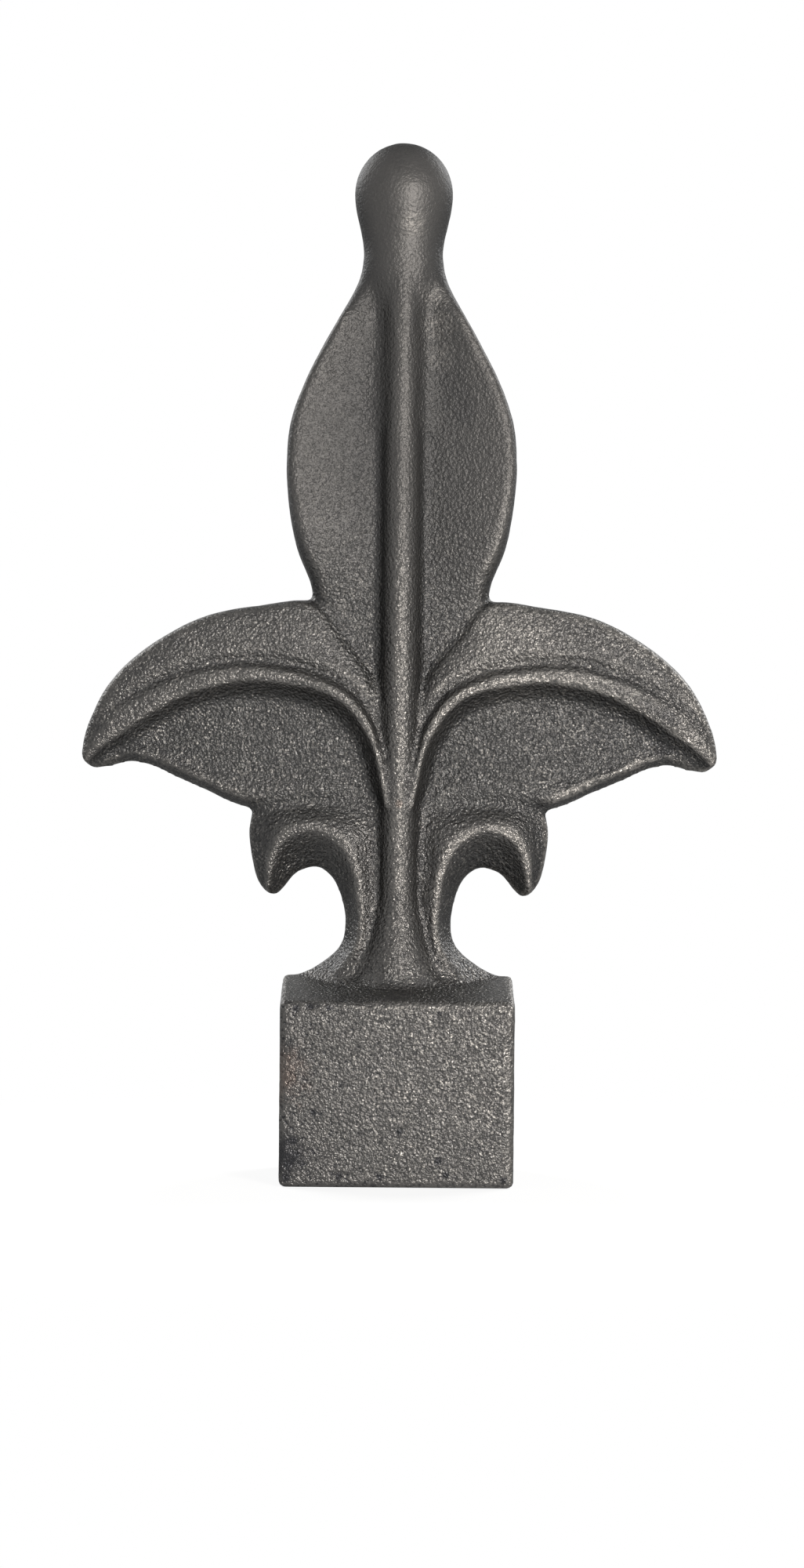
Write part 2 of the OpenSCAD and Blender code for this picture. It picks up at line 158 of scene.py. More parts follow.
# Sections along each form and points across one, points round what is turned and
# round a corner of the block, and points on the leaf's outline
STEM_STEPS, STEM_POINTS = 140, 25
LEAF_STEPS, LEAF_POINTS = 120, 79
SIDE_STEPS, SIDE_POINTS = 170, 86
SCROLL_STEPS, SCROLL_POINTS = 170, 61
CROWN_STEPS, NECK_STEPS, TURNED_SIDES = 24, 20, 96
CORNER_POINTS = 5
CURVE_STEPS = 200
# Strength and rounds of smoothing, for all of the skin and for the soft hollows, and
# the levels from a hollow's edge to its middle
FILLETS = (0.5, 2)
HOLLOWS = (0.6, 50)
HOLLOW_LEVELS = 10
# Rounds of blurring against which a raised edge is measured
RIDGE_ROUNDS = 6

# Hollows that the mould rounded more than the rest, as [x, z, end x, end z, radius]
# in millimetres: where the scrolls leave the side leaves, round the stem's foot,
# beside the midrib's upper half and at the leaf's top in the neck
SOFT_HOLLOWS = [
    [8, 55, 12, 56.5, 4.5],
    [12, 56.5, 18.5, 56, 4.2],
    [0, 29.5, 5, 29, 3.8],
    [3.6, 108, 3.9, 116, 2.3],
    [3.9, 116, 5.6, 127, 3.8],
]

# How far behind the block's front face a pit still presses the skin
PIT_REACH = 2.5 * MM
# Pits in the block's front face as [x, z, radius, depth] in millimetres
BLOCK_PITS = [
    [-11.5, 10.4, 0.55, 0.16],
    [0.4, 7.8, 0.5, 0.12],
    [5.8, 3.8, 0.6, 0.2],
    [6.9, 1.9, 0.5, 0.16],
    [-12.2, 25.3, 0.7, 0.4],
    [-11.2, 25.4, 0.5, 0.3],
    [-15.2, 3.2, 1.0, 0.3],
    [-14.4, 6.4, 0.9, 0.25],
    [-15.4, 1.4, 0.8, 0.3],
    [-13.9, 4.6, 0.7, 0.2],
    [-14.1, 25, 0.6, 0.3],
    [-9.5, 25, 0.5, 0.25],
    [5.9, 24.3, 0.45, 0.2],
    [-7.9, 1.6, 0.6, 0.2],
    [-2.2, 1.5, 0.5, 0.15],
    [15, 1.2, 0.6, 0.25],
]

# Place of the front face's spots, in millimetres from the parting plane
FACE_Y = -16.4
# Dark patch at the front face's lower left, and faint rust on the block's left edge
# and on the stem, as [x, y, z, radius] in millimetres and how ragged the edge is
DARK_PATCH = [-15.6, FACE_Y, 4.4, 4.6, 1.1]
RUST_SPOTS = [
    [-16.4, -15.4, 16, 7, 1.4],
    [0, -6.5, 53.4, 0.6, 0.4],
]

# Painted highlights, patches of the worn colour where the light falls brightest, as
# [x, y, z, radius] in millimetres and a strength: the ball's lower front, the neck's right
# shoulder, the right upper lobe beside the stem, and the edge along the centre leaf's left root
PAINTED_HIGHLIGHTS = [
    [1.4, -6.6, 135.4, 2.2, 0.32],
    [4.7, -4.4, 125.5, 2.6, 0.28],
    [5.0, -4.2, 121.5, 2.8, 0.32],
    [5.4, -4.0, 117, 2.6, 0.22],
    [15, -4.4, 75, 10, 0.4],
    [-8.2, -4, 81.5, 1.6, 0.4],
    [-6.2, -4, 78.8, 1.6, 0.4],
    [-4.4, -4, 75.8, 1.6, 0.4],
]
# How ragged the edges of the painted highlight patches and of the pits' dark spots are,
# the size of the noise that makes them so, and the band in which a spot fades, where the
# noise is added to the distance in radii
HIGHLIGHT_RAGGED = 0.6
PIT_RAGGED = 0.5
SPOT_GRAIN = 1.6 * MM
SPOT_EDGE = (0.7, 1.5)

# Heights between which the finish changes: from the block to the leaves, where the
# rubbed grain thins, the rubbed and highlighted edges begin and the painted shade of the
# low parts begins, above the block's foot, which is painted in shade, and up to the ball,
# where the grain is lowest
GRAIN_THINS = (24 * MM, 34 * MM)
EDGES_BEGIN = (26 * MM, 32 * MM)
HOLLOW_SHADE_BEGINS = (28 * MM, 31 * MM)
SHADED_FOOT = (0, 16 * MM)
BALL_BEGINS = (124 * MM, 136 * MM)
# Places from left to right between which it changes: the block is painted in shade
# towards its left, the rubbed edges' painted highlight fades to the left, and the side
# leaves' outer parts are rubbed and glint more
SHADED_SIDE = (-17 * MM, 12 * MM)
EDGE_LIGHT_FADE = (-12 * MM, 12 * MM)
TIPS_BEGIN = (17 * MM, 21 * MM)
# Heights above the foot between which the skin's lumps begin, so that it stands flat
LUMPS_BEGIN = (0.3 * MM, 1.5 * MM)

# Noise between which grains begin to show: the rubbed ones, which also stand in as painted
# glints, those of a painted highlight patch and of a rubbed edge, where more of them are
# rubbed, the dark ones, and the blotches
RUBBED_NOISE = (0.52, 0.7)
HIGHLIGHT_NOISE = (0.42, 0.6)
EDGE_NOISE = (0.35, 0.6)
UNEVEN_NOISE = (0.35, 0.65)
DARK_NOISE = (0.3, 0.46)
BLOTCH_NOISE = (0.55, 0.75)
# How strongly grains are rubbed and glint: at the block's left and at its foot, which
# are painted in shade, on the leaves, on the side leaves' outer parts, where fewer are
# rubbed, and above the smooth height
SHADED_LEFT_RUB, SHADED_FOOT_RUB, LEAF_RUB, TIP_RUB, LEAST_RUB, UPPER_RUB = 0.25, 0.5, 0.35, 0.5, 0.3, 0.2
# How strongly a raised edge is rubbed and carries painted highlight: on its low and its
# high grains, on the block, and on the left, where the painted highlight is weaker, and
# the share of the edge step at which the rubbing begins
EDGE_GRAINS = (0.2, 0.7)
BLOCK_EDGE_RUB, SHADED_EDGE_RUB, EDGE_START = 0.4, 0.35, 0.15
# How bright a painted highlight patch is on its lowest grains
HIGHLIGHT_LOW = 0.15
# How much dark scale covers the small pits, the dark patch and the block's pits, how
# much painted shade darkens the creases, how much the low grains darken on the block's
# right, which has less painted shade than its left, and on the leaves, and the blotches
SMALL_PIT_SCALE, PATCH_SCALE, BLOCK_PIT_SCALE, CREASE_SHADE = 0.8, 0.85, 0.9, 0.15
LIT_RIGHT_SCALE, LEAF_SCALE, BLOTCH_SCALE = 0.45, 0.3, 0.35
# How strongly rust shows in its spots
RUST_SHARE = 0.15
# How many times finer than the sand grain the fine grain is and its share of the height,
# and what is left of both heights above the smooth height and on the ball
FINE_TIMES, FINE_SHARE = 2.2, 0.26
UPPER_GRAIN, BALL_GRAIN = 0.7, 0.45

# Distances from the casting between which its shadow on the floor fades out, and how
# white the floor is nearest to it
FLOOR_SHADOW = (30 * MM, 160 * MM)
NEAR_WHITE = 0.86
# Colours of the floor, for the light that it throws up and for the camera
DARK_FLOOR = (0.3, 0.3, 0.3, 1)
PALE_FLOOR = (0.8, 0.8, 0.8, 1)
# Long side of the camera's film in millimetres, and the nearest that the camera sees
FILM_SIDE = 36
NEAREST_SEEN = 10 * MM


def length(name, description, millimetres):
    """A size that a user would change, kept in metres."""
    return FloatProperty(name=name, description=description, default=millimetres * MM, unit="LENGTH")


def number(name, description, value):
    """A plain number that a user would change."""
    return FloatProperty(name=name, description=description, default=value)


def shade(name, description, value):
    """A colour that a user would change."""
    return FloatVectorProperty(
        name=name, description=description, default=value, subtype="COLOR", size=3, min=0, max=1)


class FinialSizes(bpy.types.PropertyGroup):
    """Sizes of the casting's forms."""

    overall_h: length("Overall height", "Foot of the block to the ball's top", CAD_HIGH.z / MM)
    spread: length("Spread", "Width across the side leaves' tips", (CAD_HIGH.x - CAD_LOW.x) / MM)
    block_w: length("Block width", "Width of the square picket block", (CAD_HIGH.y - CAD_LOW.y) / MM)
    block_h: length("Block height", "Height of the block's front face", 25.8)
    shoulder_rise: length("Shoulder rise", "Rise of the shoulder to the parting plane", 3.1)
    block_edge_r: length("Block edge", "Radius of the block's upright edges", 0.9)
    top_chamfer: length("Top chamfer", "Chamfer along the block's front and back top edges", 0.5)
    end_chamfer: length("End chamfer", "Chamfer round the block's foot", 0.4)
    socket_w: length("Socket width", "Side of the square socket", 26.15)
    socket_depth: length("Socket depth", "Depth of the socket from the foot", 20)
    ball_d: length("Ball diameter", "Width of the ball", 14)
    ball_crown: length("Ball crown", "Ball's top above its widest point", 7.3)
    neck_drop: length("Neck drop", "Ball's widest point down to the neck", 9)
    neck_d: length("Neck diameter", "Width of the neck", 11.3)
    neck_fade: length("Neck fade", "Length over which the neck dies into the leaf", 19)
    stem_w: length("Stem width", "Width of the stem and midrib", 6)
    stem_h: length("Stem crest", "Height of the stem's crest", 6.5)
    neck_crest_h: length("Neck crest", "Height of the crest at the neck", 5.5)
    foot_w: length("Foot width", "Width of the stem's flared foot", 18)
    foot_h: length("Foot crest", "Height of the foot's crest", 8.6)
    foot_flare: length("Foot flare", "Height of the flare above the block", 11)
    foot_sink: length("Foot sink", "Depth of the stem's foot inside the block", 2)
    leaf_w: length("Leaf width", "Width of the centre leaf", 33)
    notch_w: length("Notch width", "Width between the notches", 25)
    leaf_rim_h: length("Leaf rim", "Height of the centre leaf's rim", 4.4)
    leaf_hollow_h: length("Leaf hollow", "Height of the hollow beside the midrib", 2.7)
    leaf_wall_w: length("Leaf wall", "Width of the wall outside the rim", 0.9)
    leaf_low_wall_w: length("Leaf lower wall", "Width of that wall near the notches", 2.2)
    leaf_root_drop: length("Leaf root", "Depth of the leaf's root below the notches", 14.9)
    side_rise: length("Side rise", "Side leaves' tips up to the notches", 24)
    side_rib_root_h: length("Rib root", "Height of the side rib at the stem", 6.2)
    side_rib_tip_h: length("Rib tip", "Height of the side rib at the tip", 3.2)
    crest_band_w: length("Crest band", "Width of the flat band above the side rib's crest", 0.5)
    tip_band_w: length("Tip band", "Width of that band at the tip", 3.4)
    side_rib_up_w: length("Rib upper half", "Half width of the side rib above its crest", 1.4)
    side_rib_down_w: length("Rib lower half", "Half width of the rib's lower flank", 3.2)
    upper_lobe_h: length("Upper lobe", "Height of the upper lobe beside the rib", 4.4)
    upper_crease_h: length("Upper crease", "Height of the crease between the upper lobe and the rib", 3.8)
    upper_rim_h: length("Upper rim", "Height of the upper lobe at its rim", 3.5)
    upper_tip_h: length("Upper tip", "Height of the upper lobe at the tip", 2.7)
    lower_tip_h: length("Lower tip", "Height of the lower lobe at the tip", 1.1)
    lower_lobe_h: length("Lower lobe", "Height of the lower lobe beside the rib", 2.4)
    lower_rim_h: length("Lower rim", "Height of the lower lobe at its rim", 3.2)
    upper_wall_w: length("Upper wall", "Width of the wall outside the upper rim", 0.9)
    lower_wall_w: length("Lower wall", "Width of the wall outside the lower rim", 1.5)
    scroll_w: length("Scroll width", "Width across both scrolls", 42.8)
    scroll_h: length("Scroll height", "Height of the scrolls above the block", 25.5)
    trough_drop: length("Trough drop", "Trough up to the side leaves' tips", 3.7)
    scroll_ridge_h: length("Scroll ridge", "Height of the scroll's ridge", 4.9)
    scroll_rim_h: length("Scroll rim", "Height of the scroll's outer rim", 1.8)
    scroll_root_rim_h: length("Scroll root rim", "Height of that rim beside the stem", 4)
    scroll_lip_h: length("Scroll lip", "Height of the scroll's inner edge", 0.9)
    scroll_wall_w: length("Scroll wall", "Width of the wall outside the scroll's rim", 0.8)
    scroll_lip_w: length("Scroll lip wall", "Width of the wall inside the scroll's inner edge", 0.3)
    scroll_tip_h: length("Scroll tip", "Height of the scroll's tip", 2.6)
    skin_cell: length("Skin cell", "Size of the casting skin's cells", 0.5)

    @property
    def ridge_z(self):
        return self.block_h + self.shoulder_rise

    @property
    def tip_z(self):
        return self.ridge_z + self.scroll_h + self.trough_drop

    @property
    def notch_z(self):
        return self.tip_z + self.side_rise

    @property
    def ball_z(self):
        return self.overall_h - self.ball_crown

    @property
    def neck_z(self):
        return self.ball_z - self.neck_drop


class FinialIron(bpy.types.PropertyGroup):
    """Colours and grain of the iron skin."""

    iron: shade("Iron", "Colour of the bare iron", (0.068, 0.0665, 0.065))
    # Painted shade: colour of the low parts of the relief, near the parting plane
    hollow: shade("Hollow", "Colour of the iron in the hollows", (0.040, 0.040, 0.040))
    # Worn iron, also the colour of the painted glints, edge highlights and highlight patches
    worn_and_highlight: shade("Worn iron", "Colour where the iron is rubbed", (0.220, 0.210, 0.196))
    # Dark scale, also used as painted shade in the creases and on the block's left
    dark: shade("Dark iron", "Colour of the dark scale", (0.024, 0.0245, 0.027))
    rust: shade("Rust", "Colour of the faint rust", (0.16, 0.085, 0.05))
    # Depths from the parting plane between which the low parts pass from painted shade to the bare iron
    hollow_shade_y: length("Hollow depth", "Distance from the parting plane up to which the hollows are dark", 1.8)
    unshaded_y: length("Raised height", "Distance from the parting plane from which the iron is bare", 5.5)
    metallic: number("Metallic", "Share of bare metal in the iron's skin", 0.7)
    gloss: number("Gloss", "Strength of the skin's dull gloss", 0.2)
    gloss_tint: shade("Gloss tint", "Colour of that gloss", (0.3, 0.3, 0.3))
    roughness: number("Roughness", "Roughness of the bare iron", 0.3)
    top_roughness: number("Top roughness", "Roughness towards the ball", 0.5)
    smooth_z: length("Smooth height", "Height from which the grain is lower, up to half as high again", 70)
    grain: length("Grain", "Size of the sand grain", 0.42)
    grain_h: length("Grain height", "Height of the sand grain", 0.36)
    glint: length("Glint", "Spacing of the rubbed grains that glint", 0.33)
    uneven: length("Uneven rubbing", "Size of the patches in which more grains are rubbed", 2.6)
    blotch: length("Blotch", "Size of the darker blotches", 9)
    edge_step: number("Edge step", "Millimetres that a rubbed edge stands out", 0.16)
    lump: length("Lump", "Size of the skin's uneven lumps", 6)
    lump_h: length("Lump height", "Height of the skin's uneven lumps", 0.16)
    nub: length("Nub", "Size of the coarse grain", 1.3)
    nub_h: length("Nub height", "Height of the coarse grain", 0.09)
    pit_gap: length("Pit gap", "Spacing of the small pits", 3.2)
    pit_r: length("Pit radius", "Radius of a small pit", 0.55)
    pit_h: length("Pit depth", "Depth of a small pit", 0.16)
    pit_share: number("Pit share", "Share of the places that hold a pit", 0.3)
    seed: IntProperty(name="Seed", description="Seed of the grain and of the pits", default=7)

    @property
    def smooth_band(self):
        """Heights between which the grain grows lower."""
        return self.smooth_z, 1.5 * self.smooth_z


class FinialStage(bpy.types.PropertyGroup):
    """The camera, the lights and the floor."""

    camera_distance: length("Camera distance", "Camera to the casting's parting plane", 600)
    camera_x: length("Camera across", "Camera to the right of the stem", 0.4)
    camera_z: length("Camera height", "Camera above the block's foot", 56.2)
    lens: number("Lens", f"Focal length on a long side of {FILM_SIDE} mm", 96.4)
    roll: FloatProperty(
        name="Roll", description="Turn of the camera about its view", subtype="ANGLE",
        default=math.radians(-0.47))
    aim_z: length("Lamps' aim", "Height that the lamps are aimed at", 75)
    key_x: length("Key lamp across", "Key lamp to the right of the stem", 190)
    key_y: length("Key lamp distance", "Key lamp in front of the parting plane", 500)
    key_z: length("Key lamp height", "Key lamp above the floor", 130)
    key_size: length("Key lamp size", "Width of the key lamp", 120)
    key_power: number("Key lamp", "Power of the key lamp", 4.1)
    key_tint: shade("Key lamp tint", "Colour of the key lamp's light", (1, 0.95, 0.9))
    back_x: length("Back lamps across", "Back lamps to each side of the stem", 500)
    back_y: length("Back lamps distance", "Back lamps behind the parting plane", 600)
    back_z: length("Back lamps height", "Back lamps above the floor", 500)
    back_size: length("Back lamp size", "Width of a back lamp", 500)
    back_power: number("Back lamps", "Power of a back lamp", 10)
    room: number("Room", "Strength of the room's light", 0.34)
    floor_half: length("Floor", "Half the width of the floor", 3000)


def mix(a, b, t):
    return a + (b - a) * t


def ease(t):
    return (1 - np.cos(np.pi * np.clip(t, 0, 1))) / 2


def along(points, t):
    """Points at t, an array from 0 to 1, on the smooth curve through a list of points."""
    p = np.asarray(points, float)
    n = len(p) - 1
    s = np.clip(np.asarray(t, float), 0, 1) * n
    i = np.minimum(np.floor(s).astype(int), n - 1)
    u = (s - i).reshape((-1,) + (1,) * (p.ndim - 1))
    a, b, c, d = p[np.maximum(i - 1, 0)], p[i], p[i + 1], p[np.minimum(i + 2, n)]
    slope, bend, twist = c - a, 2 * a - 5 * b + 4 * c - d, 3 * b - a - 3 * c + d
    return 0.5 * (2 * b + slope * u + bend * u ** 2 + twist * u ** 3)


def node(tree, kind, inputs=(), **settings):
    """A new node of a tree, with its settings made and its inputs set or linked."""
    made = tree.nodes.new(kind)
    for name, value in settings.items():
        setattr(made, name, value)
    for name, value in dict(inputs).items():
        if isinstance(value, bpy.types.NodeSocket):
            tree.links.new(value, made.inputs[name])
        else:
            made.inputs[name].default_value = value
    return made


def maths_in(tree, operation, a, b):
    """One sum of two values in a node tree."""
    return node(tree, "ShaderNodeMath", {0: a, 1: b}, operation=operation).outputs[0]


def ranged_in(tree, value, low, high, start=0.0, end=1.0):
    """Start where the value is low or less, end where it is high or more, and smooth between."""
    return node(tree, "ShaderNodeMapRange", {
        "Value": value, "From Min": low, "From Max": high, "To Min": start, "To Max": end},
        interpolation_type="SMOOTHSTEP").outputs[0]


def sockets(tree, way, kind, *names):
    """Gives a node group inputs or outputs of one kind."""
    for name in names:
        tree.interface.new_socket(name, in_out=way, socket_type="NodeSocket" + kind)


def added(name, data):
    """A new object in the scene."""
    made = bpy.data.objects.new(name, data)
    bpy.context.scene.collection.objects.link(made)
    return made


def toward(a, b, lengths):
    """Points that lie the given lengths from points a on the way to points b."""
    return a + (b - a) * (lengths / np.linalg.norm(b - a, axis=1))[:, None]


def rows(*columns):
    """Sections from (place, height) columns: an array of [section, point, (x, z, height)]."""
    return np.stack([np.column_stack([p, np.broadcast_to(h, len(p))]) for p, h in columns], axis=1)


def across(sections, points):
    """The same sections with more points across them, on smooth curves."""
    turned = np.swapaxes(sections, 0, 1)
    return np.swapaxes(along(turned, np.linspace(0, 1, points)), 0, 1)


def relief(sections):
    """A closed mesh, as (points, faces), of a flat form with the same relief on both faces."""
    n, k, _ = sections.shape
    m = 2 * k - 2
    x, z, h = sections[..., 0], sections[..., 1], np.maximum(sections[..., 2], 0)
    h[:, 0] = 0
    h[:, -1] = 0
    front = np.stack([x, -h, z], axis=-1)
    back = np.stack([x, h, z], axis=-1)[:, -2:0:-1]
    points = np.concatenate([front, back], axis=1).reshape(-1, 3)
    faces = []
    for r in range(n - 1):
        for j in range(m):
            a, b = r * m + j, r * m + (j + 1) % m
            faces.append((a, b, b + m, a + m))
    cap = [(j, (m - j) % m, m - j - 1, j + 1) for j in range(1, k - 2)]
    cap += [(0, m - 1, 1), (k - 2, k, k - 1)]
    faces += cap
    faces += [tuple(i + (n - 1) * m for i in reversed(f)) for f in cap]
    return points, faces


def mirrored(form):
    """The form's mirror image across the middle plane, still facing outwards."""
    points, faces = form
    return points * (-1, 1, 1), [tuple(reversed(f)) for f in faces]


def turned(profile, sides):
    """A closed mesh turned about the upright axis, from (radius, z) pairs.

    The pairs run down from the axis and back to it.
    """
    inner = profile[1:-1]
    angles = np.linspace(0, 2 * np.pi, sides, endpoint=False)
    rings = [(r * math.cos(a), r * math.sin(a), z) for r, z in inner for a in angles]
    points = np.array(rings + [(0, 0, profile[0][1]), (0, 0, profile[-1][1])])
    top, bottom, low = len(rings), len(rings) + 1, (len(inner) - 1) * sides
    faces = []
    for j in range(sides):
        e = (j + 1) % sides
        faces += [(r * sides + j, (r + 1) * sides + j, (r + 1) * sides + e, r * sides + e)
                  for r in range(len(inner) - 1)]
        faces += [(top, j, e), (bottom, low + e, low + j)]
    return points, faces


def stem(s):
    """The stem with its flared foot, which runs on as the centre leaf's midrib."""
    z = np.linspace(s.ridge_z - s.foot_sink, s.neck_z + NECK_LAP, STEM_STEPS)
    flare_z = s.ridge_z + s.foot_flare
    flare = np.clip((z - s.ridge_z + s.foot_sink) / (s.foot_flare + s.foot_sink), 0, 1)
    above = np.clip((z - flare_z) / (s.neck_z - flare_z), 0, 1)
    half_w = mix(s.foot_w / 2, s.stem_w / 2, flare ** FOOT_BEND)
    crest = np.where(
        z < flare_z, mix(s.foot_h, s.stem_h, ease(flare)),
        mix(s.stem_h, s.neck_crest_h, above ** NECK_BEND))
    angles = np.linspace(np.pi, 0, STEM_POINTS)
    x = half_w[:, None] * np.concatenate([[-1], np.cos(angles), [1]])
    h = mix(s.leaf_hollow_h / 2, crest[:, None], np.concatenate([[0], np.sin(angles), [0]]))
    return relief(np.stack([x, np.broadcast_to(z[:, None], x.shape), h], axis=-1))


def ball_and_neck(s):
    """The ball and the round neck under it, which dies into the leaf."""
    steps = np.linspace(0, 1, NECK_STEPS + 1)[1:]
    crown = [(s.ball_d / 2 * math.cos(a), s.ball_z + s.ball_crown * math.sin(a))
             for a in np.linspace(math.pi / 2, 0, CROWN_STEPS)]
    waist = [(mix(s.ball_d / 2, s.neck_d / 2, ease(t)), s.ball_z - s.neck_drop * t) for t in steps]
    fade = [(mix(s.neck_d / 2, s.stem_w / 3, ease(t)), s.neck_z - s.neck_fade * t) for t in steps]
    return turned(crown + waist + fade + [(0, s.neck_z - s.neck_fade - MM)], TURNED_SIDES)


def leaf_half_widths(s, z):
    """Half widths of the centre leaf at heights z."""
    widest_z = mix(s.notch_z, s.neck_z, WIDEST_SHARE)
    root_z = s.notch_z - s.leaf_root_drop
    fine = np.linspace(0, 1, CURVE_STEPS)
    lower, upper = along(LEAF_LOWER, fine), along(LEAF_UPPER, fine)
    rise = np.interp((z - s.notch_z) / (widest_z - s.notch_z), lower[:, 0], lower[:, 1])
    fall = np.interp((z - widest_z) / (s.neck_z - widest_z), upper[:, 0], upper[:, 1])
    spread = np.sqrt(np.clip((z - root_z) / (s.notch_z - root_z), 0, 1))
    root = mix(s.stem_w / 2, s.notch_w / 2, spread)
    low = mix(s.notch_w / 2, s.leaf_w / 2, rise)
    high = mix(s.neck_d / 2, s.leaf_w / 2, fall)
    return np.where(z < s.notch_z, root, np.where(z < widest_z, low, high))


def centre_leaf(s):
    """The centre leaf's dished fields between its rims and the midrib."""
    root_z = s.notch_z - s.leaf_root_drop
    z = np.linspace(root_z, s.neck_z, LEAF_STEPS)
    w = leaf_half_widths(s, z)
    rise = ease((z - s.notch_z) / s.leaf_root_drop + ROOT_RIM_SHARE)
    fall = ease((z - s.neck_z + s.neck_fade / 2) / (s.neck_fade / 2))
    rim = mix(s.leaf_hollow_h, s.leaf_rim_h, rise) * (1 - fall / 2)
    wall = mix(s.leaf_low_wall_w, s.leaf_wall_w, ease((z - s.notch_z) / s.neck_fade))
    field = np.maximum(w - wall - s.stem_w / 2, LEAST_STEP)
    half = [(w - share * wall, up * rim) for share, up in WALL]
    half += [(w - wall - share * field, mix(s.leaf_hollow_h, rim, up)) for share, up in LEAF_FIELD]
    columns = [(-x, h) for x, h in half] + [(x, h) for x, h in reversed(half)]
    sections = np.stack([np.column_stack([x, z, h]) for x, h in columns], axis=1)
    return relief(across(sections, LEAF_POINTS))


def placed(stations, t, edge, size, base):
    """Places of one edge of a form at t, in metres."""
    p = along([row[edge] for row in stations], t) / 100
    return np.column_stack([p[:, 0] * size[0], base + p[:, 1] * size[1]])


def side_leaf(s):
    """The right side leaf: a curved rib between a high upper lobe and a low lower lobe."""
    t = np.linspace(0, 1, SIDE_STEPS)
    size = (s.spread / 2, s.side_rise)
    u, c, l = (placed(SIDE_STATIONS, t, edge, size, s.tip_z) for edge in range(3))
    up_l, down_l = np.linalg.norm(u - c, axis=1), np.linalg.norm(l - c, axis=1)
    tip = t ** LOBE_BEND
    crest = mix(s.side_rib_root_h, s.side_rib_tip_h, t ** CREST_BEND)
    lobe = np.minimum(mix(s.upper_lobe_h, s.upper_tip_h, tip), crest - LEAST_STEP)
    rim = np.minimum(mix(s.upper_rim_h, s.upper_tip_h, tip), lobe)
    crease = np.minimum(mix(s.upper_crease_h, s.upper_tip_h, tip), lobe)
    low = np.minimum(mix(s.lower_lobe_h, s.lower_tip_h, tip), crest - 2 * LEAST_STEP)
    low_rim = mix(s.lower_rim_h, s.lower_tip_h, tip)
    wall_u = np.minimum(s.upper_wall_w, UPPER_WALL_SHARE * up_l)
    wall_l = np.minimum(s.lower_wall_w, LOWER_WALL_SHARE * down_l)
    band = np.minimum(mix(s.crest_band_w, s.tip_band_w, t ** BAND_BEND), BAND_SHARE * up_l)
    rib_u = np.minimum(s.side_rib_up_w, UPPER_RIB_SHARE * up_l)
    rib_l = np.minimum(s.side_rib_down_w, LOWER_RIB_SHARE * down_l)
    groove_u, groove_l = toward(c, u, band + rib_u), toward(c, l, rib_l)
    rim_u, rim_l = toward(u, c, wall_u), toward(l, c, wall_l)
    columns = [(toward(u, c, share * wall_u), up * rim) for share, up in WALL]
    columns += [(mix(rim_u, groove_u, share), mix(rim, lobe, up)) for share, up in UPPER_LOBE]
    columns += [(toward(c, u, band + share * rib_u), mix(crease, crest, up)) for share, up in RIB_UPPER]
    columns += [(c, crest)]
    columns += [(toward(c, l, share * rib_l), mix(low, crest, up)) for share, up in RIB_LOWER]
    columns += [(mix(groove_l, rim_l, share), mix(low, low_rim, up)) for share, up in LOWER_LOBE]
    columns += [(toward(l, c, share * wall_l), up * low_rim) for share, up in LOW_WALL]
    return relief(across(rows(*columns), SIDE_POINTS))


def scroll(s):
    """The right scroll: it climbs beside the stem, turns out and hooks down."""
    t = np.linspace(0, 1, SCROLL_STEPS)
    size = (s.scroll_w / 2, s.scroll_h)
    o, r, i = (placed(SCROLL_STATIONS, t, edge, size, s.ridge_z) for edge in range(3))
    out_l, in_l = np.linalg.norm(o - r, axis=1), np.linalg.norm(i - r, axis=1)
    ridge = mix(s.scroll_ridge_h, s.scroll_tip_h, t ** SCROLL_BEND)
    rim_fall = ease((t - SCROLL_ROOT_SHARE) / SCROLL_ROOT_SHARE)
    rim = np.minimum(mix(s.scroll_root_rim_h, s.scroll_rim_h, rim_fall), ridge - 2 * LEAST_STEP)
    rim_at = toward(o, r, np.minimum(s.scroll_wall_w, SCROLL_WALL_SHARE * out_l))
    lip_at = toward(i, r, np.minimum(s.scroll_lip_w, SCROLL_LIP_SHARE * in_l))
    columns = [(mix(o, rim_at, share), up * rim) for share, up in SCROLL_WALL]
    columns += [(mix(rim_at, r, share), mix(rim, ridge, up)) for share, up in SCROLL_OUTER]
    columns += [(mix(r, lip_at, share), mix(ridge, s.scroll_lip_h, up)) for share, up in SCROLL_INNER]
    return relief(across(rows(*columns, (i, 0)), SCROLL_POINTS))


